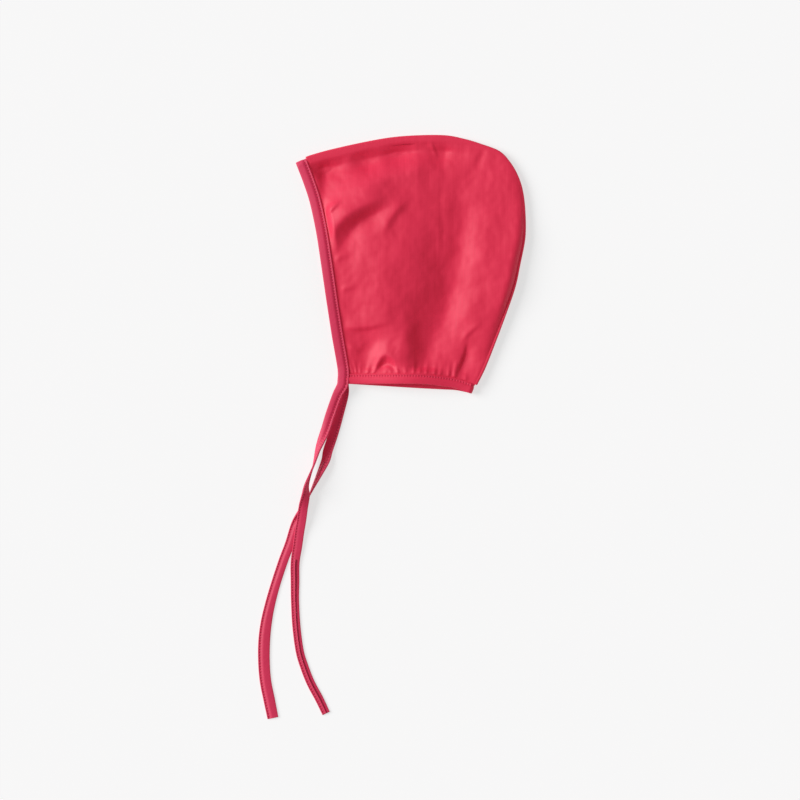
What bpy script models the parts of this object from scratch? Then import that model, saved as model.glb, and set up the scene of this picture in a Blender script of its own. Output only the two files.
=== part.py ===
"""A baby's bonnet of plain woven cotton, lying on its side on a flat surface.

Two mirrored side panels are seamed along the crown and down the back of the head.
A folded strip binds the face edges of both panels and runs on below them as the two ties.
A second strip binds the gathered neck edges and turns round at the nape.
The upper panel arches over the lower one, so the hollow for the head stays open between
them, from the face opening and the neck opening inwards.

Metres, +Z up. +X points from the face to the back of the head, +Y from the neck to the crown.
"""

import math

import bmesh
import bpy
import numpy as np
from mathutils import Vector

# Cap
CAP_DEPTH = 0.171
CAP_HEIGHT = 0.193
CAP_LOFT = 0.0165
FACE_GAPE = 0.0080
NECK_GAPE = 0.0060
SEAM_ALLOWANCE = 0.0060
ALLOWANCE_FADE = 0.0030

# Cloth and sewing
CLOTH = 0.0010
GAP = 0.0003
FACE_BINDING_WIDTH = 0.0085
NECK_BINDING_WIDTH = 0.0075
MOUTH_CLEARANCE = 0.0007

# Ties
TIE_DROP = 0.250
TIE_WIDTH = 0.0075
TIE_THICKNESS = 0.0018
TIE_EDGE = 0.4

# How far each edge takes to rise to the full loft, as shares of the cap's depth
FACE_RISE = 0.24
NECK_RISE = 0.22
CROWN_RISE = 0.15

# Heights that follow from the sizes above
SLOT = CLOTH + 2 * GAP
BAND = SLOT + 2 * CLOTH
TURN_RADIUS = BAND / 2 + GAP
TURN_REACH = TURN_RADIUS + BAND / 2
LOWER_LEVEL = BAND / 2
UPPER_LEVEL = LOWER_LEVEL + 2 * TURN_RADIUS
SEAM_LEVEL = (LOWER_LEVEL + UPPER_LEVEL) / 2
SEAM_OFFSET = CLOTH + GAP / 2

# Fold of the face binding, from the forehead to the neck: share of depth, share of height
FACE_EDGE = (
    (0.007, 0.875),
    (0.033, 0.815),
    (0.061, 0.739),
    (0.089, 0.626),
    (0.111, 0.502),
    (0.134, 0.362),
    (0.158, 0.222),
    (0.178, 0.120),
    (0.184, 0.080),
    (0.182, 0.043),
)

# Fold of the neck binding behind the face binding, to the nape: share of depth, share of height
UPPER_NECK_EDGE = (
    (0.40, 0.0350),
    (0.55, 0.0340),
    (0.64, 0.0260),
    (0.70, 0.0170),
    (0.752, 0.0020),
)
LOWER_NECK_EDGE = (
    (0.40, 0.0260),
    (0.55, 0.0180),
    (0.64, 0.0140),
    (0.70, 0.0110),
    (0.752, 0.0020),
)
NECK_START_HEIGHT = 0.035

# Seam along the crown and down the back: share of depth, share of height
SEAM_OUTLINE = (
    (0.070, 0.918),
    (0.149, 0.938),
    (0.285, 0.966),
    (0.412, 0.987),
    (0.526, 0.996),
    (0.654, 0.997),
    (0.741, 0.983),
    (0.807, 0.966),
    (0.890, 0.938),
    (0.936, 0.897),
    (0.971, 0.844),
    (0.993, 0.782),
    (1.003, 0.700),
    (1.002, 0.603),
    (0.980, 0.502),
    (0.958, 0.413),
    (0.920, 0.315),
    (0.867, 0.191),
    (0.824, 0.097),
)
CROWN_SHARE = 0.455

# How fully a bound edge and the seam hold the cloth at their own height
BOUND_HOLD = 0.9999
SEAM_HOLD = 0.99

# Soft folds of the upper panel: from depth, from height, to depth, to height,
# rise as a share of the loft, half width as a share of the depth
FOLDS = (
    (0.150, 0.605, 0.315, 0.785, 0.16, 0.045),
    (0.200, 0.535, 0.370, 0.700, -0.10, 0.040),
    (0.405, 0.640, 0.490, 0.765, 0.11, 0.035),
    (0.450, 0.590, 0.540, 0.720, -0.08, 0.035),
    (0.220, 0.275, 0.390, 0.270, 0.07, 0.025),
    (0.640, 0.700, 0.600, 0.130, -0.24, 0.095),
    (0.810, 0.560, 0.700, 0.150, 0.10, 0.060),
    (0.370, 0.200, 0.380, 0.150, 0.10, 0.050),
    (0.735, 0.190, 0.690, 0.110, 0.11, 0.024),
    (0.775, 0.190, 0.715, 0.075, -0.12, 0.018),
    (0.280, 0.860, 0.620, 0.900, -0.06, 0.035),
)

# Gathers along the neck binding: place along it, height and reach as shares of its width
GATHERS = (
    (0.055, 0.16, 0.55),
    (0.110, 0.18, 0.70),
    (0.180, 0.22, 0.90),
    (0.260, 0.30, 1.30),
    (0.340, 0.26, 0.90),
    (0.405, 0.18, 0.60),
    (0.480, 0.20, 0.80),
    (0.557, 0.16, 0.55),
    (0.607, 0.15, 0.50),
    (0.652, 0.15, 0.50),
    (0.698, 0.16, 0.60),
    (0.750, 0.17, 0.60),
    (0.805, 0.20, 0.80),
    (0.862, 0.26, 1.20),
    (0.930, 0.15, 0.50),
)
GATHER_HALF_WIDTH = 0.019
LOWER_GATHER_SHARE = 0.5

# Ties, from the neck corner to the cut end: shares of the drop down and across, width as a
# share of the tie's, turn about its own length in degrees, thicknesses of the other tie that
# it lies over, and free height under it as a share of its width
TIE_OVER = (
    (0.039, -0.0177, 0.97, 0, 0, 0.66),
    (0.093, -0.0372, 0.95, 4, 0, 0.62),
    (0.143, -0.0532, 0.93, 16, 0, 0.52),
    (0.177, -0.0664, 0.92, 38, 0, 0.38),
    (0.204, -0.0763, 0.92, 60, 0, 0.30),
    (0.252, -0.0892, 0.92, 86, 0, 0.30),
    (0.306, -0.1074, 0.92, 112, 0, 0.62),
    (0.339, -0.1113, 0.94, 146, 0, 0.80),
    (0.375, -0.1188, 0.95, 172, 1, 0.52),
    (0.414, -0.1246, 0.96, 180, 1, 0.30),
    (0.451, -0.1310, 0.96, 180, 1, 0.10),
    (0.490, -0.1363, 0.94, 180, 1, 0.00),
    (0.541, -0.1438, 0.90, 180, 0.5, 0.00),
    (0.595, -0.1441, 0.88, 180, 0, 0.00),
    (0.655, -0.1441, 0.82, 180, 0, 0.00),
    (0.730, -0.1402, 0.82, 180, 0, 0.00),
    (0.805, -0.1303, 0.82, 180, 0, 0.00),
    (0.853, -0.1162, 0.84, 180, 0, 0.00),
    (0.901, -0.0973, 0.84, 180, 0, 0.00),
    (0.949, -0.0718, 0.84, 180, 0, 0.00),
    (0.993, -0.0508, 0.80, 180, 0, 0.00),
)
TIE_UNDER = (
    (0.035, 0.0020, 1.00, 0, 0, 0.06),
    (0.093, -0.0121, 0.98, 0, 0, 0.00),
    (0.150, -0.0277, 0.98, 0, 0, 0.00),
    (0.204, -0.0454, 0.98, 8, 0, 0.00),
    (0.233, -0.0522, 0.92, 22, 0, 0.00),
    (0.267, -0.0672, 0.85, 46, 0, 0.00),
    (0.315, -0.0903, 0.74, 74, 0, 0.00),
    (0.351, -0.1068, 0.66, 102, 0, 0.00),
    (0.390, -0.1268, 0.76, 145, 0, 0.00),
    (0.429, -0.1433, 0.92, 176, 0, 0.00),
    (0.484, -0.1600, 0.95, 180, 0, 0.00),
    (0.535, -0.1792, 0.95, 180, 0, 0.00),
    (0.604, -0.2020, 0.95, 180, 0, 0.00),
    (0.667, -0.2194, 1.02, 180, 0, 0.00),
    (0.721, -0.2305, 1.12, 180, 0, 0.00),
    (0.775, -0.2365, 1.18, 180, 0, 0.00),
    (0.835, -0.2374, 1.17, 180, 0, 0.00),
    (0.895, -0.2329, 1.15, 180, 0, 0.00),
    (0.955, -0.2210, 1.15, 180, 0, 0.00),
    (1.007, -0.2105, 1.10, 180, 0, 0.00),
)

# Fineness of the meshes
UPPER_COLUMNS = 46
UPPER_ROWS = 20
LOWER_COLUMNS = 30
LOWER_ROWS = 14
RUN_STEPS = 26
TURN_STEPS = 6
TIE_STEPS = 46
SPAN_STEPS = 12
GUIDE_STEPS = 801
NEAR = 0.005


def smooth_curve(rows, before=None):
    """A smooth curve through the rows, read at a share of its length.

    The first columns are the place, and any others are carried along with it. A row from
    before the curve's start sets the direction in which it sets off."""
    rows = np.array(rows, dtype=float)
    if before is None:
        before = 2 * rows[0] - rows[1]
    ends = np.vstack((before, rows, 2 * rows[-1] - rows[-2]))
    t = np.linspace(0, 1, SPAN_STEPS, endpoint=False)[:, None]
    spans = []
    for a, b, c, d in zip(ends, ends[1:], ends[2:], ends[3:]):
        bend = (2 * a - 5 * b + 4 * c - d) * t**2 + (3 * b - a - 3 * c + d) * t**3
        spans.append(b + 0.5 * ((c - a) * t + bend))
    points = np.vstack(spans + [rows[-1:]])
    steps = np.linalg.norm(np.diff(points[:, :3], axis=0), axis=1)
    lengths = np.concatenate(([0], np.cumsum(steps)))

    def at(share):
        return np.array([np.interp(share * lengths[-1], lengths, column) for column in points.T])

    at.length = lengths[-1]
    return at


def on_cap(rows):
    """Shares of the cap's depth and height as places."""
    return [(depth * CAP_DEPTH, height * CAP_HEIGHT) for depth, height in rows]


def ease(value):
    """0 to 1 with level ends."""
    value = min(max(value, 0), 1)
    return value * value * (3 - 2 * value)


def swell(share):
    """0 at both ends and 1 in the middle, with level ends."""
    return math.sin(math.pi * min(max(share, 0), 1)) ** 2


class Edge:
    """A bound edge of one layer: its fold in plan, the way into the cloth and its height."""

    def __init__(self, fold, width, level, lift):
        self.fold = fold
        self.width = width
        self.level = level
        self.lift = lift

    def along(self, share):
        """Direction of the edge in plan."""
        ahead = self.fold(min(share + NEAR, 1)) - self.fold(max(share - NEAR, 0))
        return Vector((ahead[0], ahead[1], 0)).normalized()

    def across(self, share):
        """Direction from the fold into the cloth."""
        along = self.along(share)
        return Vector((-along.y, along.x, 0))

    def height(self, share):
        return self.level + self.lift * swell(share)

    def point(self, share, inward=0.0, beyond=0.0):
        """A place at a share of the edge, inward from its fold and beyond along it."""
        x, y = self.fold(share)
        place = Vector((x, y, self.height(share)))
        return place + self.across(share) * inward + self.along(share) * beyond

    def mouth(self, shares):
        """The line just outside the binding where the cloth comes out of it."""
        return [self.point(share, self.width + MOUTH_CLEARANCE) for share in shares]


def face_edge(level, lift):
    return Edge(smooth_curve(on_cap(FACE_EDGE)), FACE_BINDING_WIDTH, level, lift)


def neck_edge(face, rows, level, lift):
    """The neck binding starts just clear of the face binding."""
    shares = [1 - NECK_BINDING_WIDTH / face.fold.length * step / 4 for step in range(5)]
    start = max(face.point(share, FACE_BINDING_WIDTH + GAP).x for share in shares)
    first = (start, NECK_START_HEIGHT * CAP_HEIGHT)
    return Edge(smooth_curve([first] + on_cap(rows)), NECK_BINDING_WIDTH, level, lift)


class Layer:
    """One side of the cap: where its cloth lies in plan and how high it stands."""

    def __init__(self, face, neck, seam_height, loft, folds, gathers):
        self.face = face
        self.neck = neck
        self.seam_height = seam_height
        self.loft = loft
        self.folds = folds
        self.gathers = gathers
        self.tuck = BAND / 2
        self.corner_share = 1 - (NECK_BINDING_WIDTH + MOUTH_CLEARANCE) / face.fold.length
        shares = np.linspace(0, 1, 24)
        side = face.mouth(shares * self.corner_share)
        side[0] += face.along(0) * -TURN_REACH
        bottom = neck.mouth(shares)
        bottom[0] = side[-1]
        bottom[-1] += neck.along(1) * TURN_REACH
        seam = [side[0].xy] + on_cap(SEAM_OUTLINE) + [bottom[-1].xy]
        self.side = smooth_curve([point.xy for point in side])
        self.bottom = smooth_curve([point.xy for point in bottom])
        self.seam = smooth_curve(seam)
        shares = np.linspace(0, 1, GUIDE_STEPS)
        self.guides = (
            np.array([point.xy for point in face.mouth(shares)]),
            np.array([point.xy for point in neck.mouth(shares)]),
            np.array([self.seam(share) for share in shares]),
        )

    def plan(self, u, v):
        """Place in plan, u from the face to the back and v from the crown to the neck."""
        top = self.seam(u * CROWN_SHARE)
        back = self.seam(CROWN_SHARE + v * (1 - CROWN_SHARE))
        corners = (1 - v) * ((1 - u) * self.seam(0) + u * self.seam(CROWN_SHARE))
        corners = corners + v * ((1 - u) * self.side(1) + u * self.seam(1))
        return (1 - u) * self.side(v) + u * back + (1 - v) * top + v * self.bottom(u) - corners

    def distances(self, place):
        """Distance from the face mouth, neck mouth and seam, and the share along each."""
        found = []
        for guide in self.guides:
            away = np.linalg.norm(guide - place, axis=1)
            nearest = int(np.argmin(away))
            found.append((away[nearest], nearest / (GUIDE_STEPS - 1)))
        return found

    def height(self, place):
        """Height of the middle of the cloth."""
        (face_away, face_share), (neck_away, neck_share), (seam_away, _) = self.distances(place)
        holds = (
            (face_away, FACE_RISE, BOUND_HOLD, self.face.height(face_share)),
            (neck_away, NECK_RISE, BOUND_HOLD, self.neck.height(neck_share)),
            (max(seam_away - SEAM_ALLOWANCE, 0), CROWN_RISE, SEAM_HOLD, self.seam_height),
        )
        total = 1.0
        height = self.loft
        for away, rise, most, level in holds:
            hold = most * (1 - ease(away / (rise * CAP_DEPTH)))
            total += hold / (1 - hold)
            height += level * hold / (1 - hold)
        free = 1 / total
        height /= total
        return height + self.fold_height(place) * free + self.gather_height(neck_away, neck_share)

    def fold_height(self, place):
        """Sum of the soft folds at a place."""
        height = 0.0
        for from_depth, from_height, to_depth, to_height, rise, half_width in self.folds:
            start, end = on_cap(((from_depth, from_height), (to_depth, to_height)))
            run = np.subtract(end, start)
            share = np.clip(np.dot(place - start, run) / np.dot(run, run), 0, 1)
            away = np.linalg.norm(place - start - run * share) / (half_width * CAP_DEPTH)
            height += rise * CAP_LOFT * math.exp(-away * away)
        return height

    def gather_height(self, neck_away, neck_share):
        """Small pleats that start at the neck binding and run out above it."""
        height = 0.0
        for place, rise, reach in GATHERS:
            across = (neck_share - place) / GATHER_HALF_WIDTH
            up = neck_away / (reach * NECK_BINDING_WIDTH)
            height += rise * math.exp(-across * across) * up * math.exp(1 - up)
        return height * self.gathers * NECK_BINDING_WIDTH

    def point(self, column, row, columns, rows):
        """A grid point: two columns and two rows of it are tucked into the bindings."""
        u = max(column - 2, 0) / (columns - 2)
        v = spread_rows(min(row / (rows - 2), 1))
        tucks = (self.tuck, self.face.width)
        neck_tucks = (self.neck.width, self.tuck)
        if row > rows - 2:
            inward = neck_tucks[row - rows + 1]
            if column < 2:
                return self.face.point(1 - inward / self.face.fold.length, tucks[column])
            return self.neck.point(self.distances(self.bottom(u))[1][1], inward)
        if column < 2:
            return self.face.point(self.distances(self.side(v))[0][1], tucks[column])
        place = self.plan(u, v)
        return Vector((place[0], place[1], self.height(place)))


def spread_rows(share):
    """Rows closer together at the crown and at the neck."""
    return 0.5 * share + 0.25 * (1 - math.cos(math.pi * share))


def cloth_material(name, colour):
    material = bpy.data.materials.new(name)
    material.use_nodes = True
    shader = material.node_tree.nodes["Principled BSDF"]
    shader.inputs["Base Color"].default_value = (*colour, 1)
    shader.inputs["Roughness"].default_value = 0.75
    shader.inputs["Metallic"].default_value = 0.0
    return material


def new_object(name, bm, colour):
    """One named object with its own material, made from a finished bmesh."""
    bmesh.ops.recalc_face_normals(bm, faces=bm.faces)
    mesh = bpy.data.meshes.new(name)
    bm.to_mesh(mesh)
    bm.free()
    mesh.shade_smooth()
    mesh.materials.append(cloth_material(name + "_cotton", colour))
    piece = bpy.data.objects.new(name, mesh)
    bpy.context.collection.objects.link(piece)
    return piece


def panel(name, layer, columns, rows, colour):
    """A sheet laid over its layer, thickened to the cloth and doubled along the seam."""
    bm = bmesh.new()
    bmesh.ops.create_grid(bm, x_segments=columns, y_segments=rows, size=1)
    doubled = {}
    for vertex in bm.verts:
        column = round((vertex.co.x + 1) / 2 * columns)
        row = round((1 - vertex.co.y) / 2 * rows)
        vertex.co = layer.point(column, row, columns, rows)
        tucked = column < 2 or row > rows - 2
        seam_away = layer.distances(vertex.co.xy)[2][0]
        fade = ease(1 + (SEAM_ALLOWANCE - seam_away) / ALLOWANCE_FADE)
        doubled[vertex.index] = 0.0 if tucked else fade
    piece = new_object(name, bm, colour)
    group = piece.vertex_groups.new(name="seam_allowance")
    for index, weight in doubled.items():
        group.add([index], weight, "REPLACE")
    wall = piece.modifiers.new("cloth", "SOLIDIFY")
    wall.thickness = 2 * CLOTH
    wall.offset = 0
    wall.use_even_offset = True
    wall.use_quality_normals = True
    wall.vertex_group = group.name
    wall.thickness_vertex_group = 0.5
    return piece


def sweep(name, rings, colour):
    """A closed body through rings of points, flat at both ends."""
    bm = bmesh.new()
    loops = [[bm.verts.new(point) for point in ring] for ring in rings]
    for ring, following in zip(loops, loops[1:]):
        for index in range(len(ring)):
            quad = (ring[index - 1], ring[index], following[index], following[index - 1])
            bm.faces.new(quad)
    bm.faces.new(loops[0])
    bm.faces.new(loops[-1])
    return new_object(name, bm, colour)


def channel_section(width):
    """Outline of a folded strip round the cloth: inward from the fold, and up."""
    outer = BAND / 2
    inner = SLOT / 2
    floor = outer - GAP
    upper = ((width, outer), (CLOTH, outer), (0.3 * CLOTH, 0.7 * outer))
    lower = [(inward, -up) for inward, up in reversed(upper)]
    slot = ((width, -inner), (floor, -inner), (floor, inner), (width, inner))
    return list(upper) + lower + list(slot)


def binding(name, upper, lower, turns_at, colour):
    """A folded strip along the upper edge, round its turn and back along the lower edge."""
    section = channel_section(upper.width)
    shares = [1 - turns_at + (2 * turns_at - 1) * step / RUN_STEPS for step in range(RUN_STEPS + 1)]
    forward = 2 * turns_at - 1
    frames = []
    for share in shares:
        frames.append((upper.point(share), upper.across(share), Vector((0, 0, 1))))
    pivot = upper.point(turns_at)
    along = upper.along(turns_at) * forward
    for step in range(1, TURN_STEPS):
        angle = math.pi * step / TURN_STEPS
        drop = Vector((0, 0, TURN_RADIUS * (math.cos(angle) - 1)))
        up = Vector((0, 0, math.cos(angle))) + along * math.sin(angle)
        frames.append((pivot + along * TURN_RADIUS * math.sin(angle) + drop, upper.across(turns_at), up))
    for share in reversed(shares):
        frames.append((lower.point(share), lower.across(share), Vector((0, 0, -1))))
    rings = [[place + inward * w + up * n for w, n in section] for place, inward, up in frames]
    return sweep(name, rings, colour)


def tie(name, face, rows, colour):
    """A flat band from the end of the face binding, turned about its length as it lies."""
    start = face.point(1, face.width / 2, GAP)
    table = [(*start, face.width, 0)]
    for down, across, share, turn, over, lift in rows:
        width = share * TIE_WIDTH
        angle = math.radians(turn)
        rest = 0.5 * (width * abs(math.sin(angle)) + TIE_THICKNESS * abs(math.cos(angle)))
        height = rest + over * (TIE_THICKNESS + GAP) + lift * TIE_WIDTH
        place = (start.x + across * TIE_DROP, start.y - down * TIE_DROP, height)
        table.append((*place, width, angle))
    first = Vector(table[1][:3])
    before = first - 2 * (first - start).length * face.along(1)
    route = smooth_curve(table, (*before, *table[0][3:]))
    rings = []
    for step in range(TIE_STEPS + 1):
        share = step / TIE_STEPS
        x, y, z, width, angle = route(share)
        ahead = route(min(share + NEAR, 1)) - route(max(share - NEAR, 0))
        along = Vector(ahead[:3]).normalized() if step else face.along(1)
        level = Vector((-along.y, along.x, 0)).normalized()
        side = level * math.cos(angle) + along.cross(level) * math.sin(angle)
        up = side.cross(along)
        half = TIE_THICKNESS / 2
        edge = width / 2 - TIE_EDGE * TIE_THICKNESS
        ring = ((width / 2, 0), (edge, half), (-edge, half), (-width / 2, 0), (-edge, -half), (edge, -half))
        ring = [Vector((x, y, z)) + side * a + up * b for a, b in ring]
        sunk = min(0, min(point.z for point in ring))
        rings.append([point - Vector((0, 0, sunk)) for point in ring])
    return sweep(name, rings, colour)


def stand_on_origin(pieces):
    """Moves all pieces so that the middle of the underside is at the origin."""
    bpy.context.view_layer.update()
    graph = bpy.context.evaluated_depsgraph_get()
    corners = [Vector(corner) for piece in pieces for corner in piece.evaluated_get(graph).bound_box]
    low = Vector([min(corner[axis] for corner in corners) for axis in range(3)])
    high = Vector([max(corner[axis] for corner in corners) for axis in range(3)])
    middle = Vector(((low.x + high.x) / 2, (low.y + high.y) / 2, low.z))
    for piece in pieces:
        piece.location = -middle


for leftover in list(bpy.data.objects):
    bpy.data.objects.remove(leftover, do_unlink=True)

closed = 2 * TURN_RADIUS - BAND
upper_face = face_edge(UPPER_LEVEL, FACE_GAPE - closed)
lower_face = face_edge(LOWER_LEVEL, 0)
upper_neck = neck_edge(upper_face, UPPER_NECK_EDGE, UPPER_LEVEL, NECK_GAPE - closed)
lower_neck = neck_edge(lower_face, LOWER_NECK_EDGE, LOWER_LEVEL, 0)
upper_layer = Layer(upper_face, upper_neck, SEAM_LEVEL + SEAM_OFFSET, CAP_LOFT, FOLDS, 1)
lower_layer = Layer(lower_face, lower_neck, SEAM_LEVEL - SEAM_OFFSET, CLOTH / 2, (), LOWER_GATHER_SHARE)

stand_on_origin([
    panel("side_panel_upper", upper_layer, UPPER_COLUMNS, UPPER_ROWS, (0.67, 0.045, 0.089)),
    panel("side_panel_lower", lower_layer, LOWER_COLUMNS, LOWER_ROWS, (0.60, 0.034, 0.070)),
    binding("face_binding", upper_face, lower_face, 0, (0.71, 0.100, 0.175)),
    binding("neck_binding", upper_neck, lower_neck, 1, (0.68, 0.055, 0.105)),
    tie("tie_over", upper_face, TIE_OVER, (0.74, 0.080, 0.150)),
    tie("tie_under", lower_face, TIE_UNDER, (0.72, 0.075, 0.145)),
])
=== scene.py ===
import math

import bmesh
import bpy
import numpy as np
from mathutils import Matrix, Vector, noise


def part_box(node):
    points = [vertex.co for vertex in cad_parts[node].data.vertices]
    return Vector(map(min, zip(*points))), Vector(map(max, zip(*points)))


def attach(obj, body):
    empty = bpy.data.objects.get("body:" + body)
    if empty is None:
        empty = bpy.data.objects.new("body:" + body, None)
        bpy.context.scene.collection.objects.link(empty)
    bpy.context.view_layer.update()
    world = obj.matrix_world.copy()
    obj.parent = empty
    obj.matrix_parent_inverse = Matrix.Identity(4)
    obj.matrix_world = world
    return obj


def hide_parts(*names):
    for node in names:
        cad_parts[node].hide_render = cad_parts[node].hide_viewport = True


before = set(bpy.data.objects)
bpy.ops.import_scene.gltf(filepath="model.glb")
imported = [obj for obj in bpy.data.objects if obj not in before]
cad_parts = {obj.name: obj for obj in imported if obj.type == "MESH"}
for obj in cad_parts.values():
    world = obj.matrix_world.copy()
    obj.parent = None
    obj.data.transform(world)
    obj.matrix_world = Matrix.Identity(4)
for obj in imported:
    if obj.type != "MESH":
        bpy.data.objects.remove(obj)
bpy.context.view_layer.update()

# The outline of the cap. Two mirrored panels of plain-woven cotton meet in a seam along the
# crown and down the back of the head. The face edge and the gathered neck edge are bound.
CAP_DEPTH = 0.171
CAP_HEIGHT = 0.193
FACE_BINDING_WIDTH = 0.0085
NECK_BINDING_WIDTH = 0.0075

# Fold of the face binding, from the forehead to the neck: share of depth, share of height
FACE_EDGE = (
    (0.007, 0.875),
    (0.033, 0.815),
    (0.061, 0.739),
    (0.089, 0.626),
    (0.111, 0.502),
    (0.134, 0.362),
    (0.158, 0.222),
    (0.178, 0.120),
    (0.184, 0.080),
    (0.182, 0.043),
)

# Fold of the neck binding, from the face binding to the nape: share of depth, share of height
NECK_START_HEIGHT = 0.035
UPPER_NECK_EDGE = (
    (0.40, 0.0350),
    (0.55, 0.0340),
    (0.64, 0.0260),
    (0.70, 0.0170),
    (0.752, 0.0020),
)
LOWER_NECK_EDGE = (
    (0.40, 0.0260),
    (0.55, 0.0180),
    (0.64, 0.0140),
    (0.70, 0.0110),
    (0.752, 0.0020),
)

# Seam from the forehead along the crown and down the back: share of depth, share of height
SEAM_OUTLINE = (
    (0.070, 0.918),
    (0.149, 0.938),
    (0.285, 0.966),
    (0.412, 0.987),
    (0.526, 0.996),
    (0.654, 0.997),
    (0.741, 0.983),
    (0.807, 0.966),
    (0.890, 0.938),
    (0.936, 0.897),
    (0.971, 0.844),
    (0.993, 0.782),
    (1.003, 0.700),
    (1.002, 0.603),
    (0.980, 0.502),
    (0.958, 0.413),
    (0.920, 0.315),
    (0.867, 0.191),
    (0.824, 0.097),
)
SPAN_STEPS = 40
REACH_STEPS = 2000
NEAR = 0.004


def smooth_curve(rows, before=None):
    """A smooth curve through the rows, read at shares of its length."""
    rows = np.array(rows, dtype=float)
    if before is None:
        before = 2 * rows[0] - rows[1]
    ends = np.vstack((before, rows, 2 * rows[-1] - rows[-2]))
    t = np.linspace(0, 1, SPAN_STEPS, endpoint=False)[:, None]
    spans = []
    for a, b, c, d in zip(ends, ends[1:], ends[2:], ends[3:]):
        bend = (2 * a - 5 * b + 4 * c - d) * t**2 + (3 * b - a - 3 * c + d) * t**3
        spans.append(b + 0.5 * ((c - a) * t + bend))
    points = np.vstack(spans + [rows[-1:]])
    steps = np.linalg.norm(np.diff(points[:, :3], axis=0), axis=1)
    lengths = np.concatenate(([0], np.cumsum(steps)))

    def at(share):
        way = np.asarray(share, dtype=float) * lengths[-1]
        return np.stack([np.interp(way, lengths, column) for column in points.T], axis=-1)

    at.length = lengths[-1]
    return at


def unit(vectors):
    return vectors / np.linalg.norm(vectors, axis=-1, keepdims=True)


def ease(value):
    """0 to 1 with level ends."""
    value = np.clip(value, 0, 1)
    return value * value * (3 - 2 * value)


def nearest(line, places):
    """Distance from places to a line of points, share along it, and which side they are on."""
    run = np.diff(line, axis=0)
    away = places[:, None, :] - line[:-1]
    share = np.clip((away * run).sum(axis=2) / (run * run).sum(axis=1), 0, 1)
    gap = np.linalg.norm(away - share[..., None] * run, axis=2)
    best = gap.argmin(axis=1)
    chosen = (np.arange(len(places)), best)
    turn = run[best, 0] * away[chosen][:, 1] - run[best, 1] * away[chosen][:, 0]
    return gap[chosen], (best + share[chosen]) / len(run), np.sign(turn)


outline_reach = smooth_curve(SEAM_OUTLINE)(np.linspace(0, 1, REACH_STEPS)).max(axis=0)
panel_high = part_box("side_panel_upper")[1]
pattern_corner = np.array(panel_high.xy) - outline_reach * (CAP_DEPTH, CAP_HEIGHT)


def on_cap(rows):
    """Shares of the cap's depth and height as places in the frame."""
    return np.array(rows) * (CAP_DEPTH, CAP_HEIGHT) + pattern_corner


class Edge:
    """An edge of one side of the cap: its line in plan and its height at rest."""

    def __init__(self, line, level, lift=0.0):
        self.line = line
        self.level = level
        self.lift = lift

    def along(self, share):
        share = np.asarray(share, dtype=float)
        ahead = self.line(np.minimum(share + NEAR, 1)) - self.line(np.maximum(share - NEAR, 0))
        return unit(ahead)

    def across(self, share):
        """Into the cloth for the bound edges, and out of it for the seam."""
        along = self.along(share)
        return np.stack((-along[..., 1], along[..., 0]), axis=-1)

    def plan(self, share, inward):
        return self.line(share) + self.across(share) * inward

    def height(self, share):
        return self.level + self.lift * np.sin(np.pi * np.clip(share, 0, 1)) ** 2

    def place(self, share, inward=0.0):
        plan = self.plan(share, inward)
        return np.concatenate((plan, self.height(share)[..., None]), axis=-1)


# The cap lies on one side. The lower panel is flat on the table, the upper one arches over
# it, and the bound edges lie one over the other with the openings for the face and neck
# between them.
LOWER_LEVEL = 0.0018
UPPER_LEVEL = 0.0060
SEAM_LEVEL = 0.0039
FACE_GAPE = 0.0074
NECK_GAPE = 0.0054

upper_face = Edge(smooth_curve(on_cap(FACE_EDGE)), UPPER_LEVEL, FACE_GAPE)
lower_face = Edge(upper_face.line, LOWER_LEVEL)
shares = np.linspace(1 - NECK_BINDING_WIDTH / upper_face.line.length, 1, 5)
neck_start = (
    upper_face.plan(shares, FACE_BINDING_WIDTH)[:, 0].max(),
    NECK_START_HEIGHT * CAP_HEIGHT + pattern_corner[1],
)
upper_neck = Edge(smooth_curve([neck_start, *on_cap(UPPER_NECK_EDGE)]), UPPER_LEVEL, NECK_GAPE)
lower_neck = Edge(smooth_curve([neck_start, *on_cap(LOWER_NECK_EDGE)]), LOWER_LEVEL)

# The panels' cloth: soft folds over the upper one, a pressed crease, and the pleats that the
# neck binding gathers. Places are pixels of the photograph, in which the corner of the
# pattern is at CORNER_PIXEL and a pixel is PIXEL wide.
PIXEL = 0.00075
CORNER_PIXEL = (296, 393)
NECK_PIXEL = 374
CLOTH = 0.0005

# Height of the cap's middle, of its back and of its crown and neck ends. The columns of
# pixels where the fall to the back starts and ends, then the row from which the cap falls
# both up and down, and the row where it is down at the neck end.
CAP_LOFT = (0.0165, 0.0116, 0.0108)
BACK_FALLS = (385, 462)
ENDS_FALL = (268, 375)

# How far the mouths take to rise to the loft, as shares of the depth, and how firmly the bound
# edges and the seam hold their own heights. The lower side comes down to the table sooner,
# clear of the sunk cloth over it.
FACE_RISE = 0.22
NECK_RISE = 0.20
BOUND_HOLD = 0.9999
SEAM_HOLD = 0.99
LOWER_FALL = 0.3

# The stiff cloth beside the bindings and the seam, on which the folds run out
STIFF_FACE = 0.003
STIFF_EDGE = 0.006
STIFF_SEAM = 0.005
STIFF_FLAT = 0.3

# The ridge over the crown seam's allowance and the sunk band inside it, whose depth varies
SEAM_RIDGE = 0.0006
RIDGE_FLAT = 0.35
RIDGE_FALL = 0.004
SUNK_DEPTH = 0.0038
SUNK_INSIDE = 0.0125
SUNK_WIDTHS = (0.0046, 0.0100)
SUNK_PATCHES = 17
SUNK_EVEN = 0.75
SUNK_UNEVEN = 0.6
SUNK_FLOOR = 0.0019
SUNK_FROM_FACE = 0.0100

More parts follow.
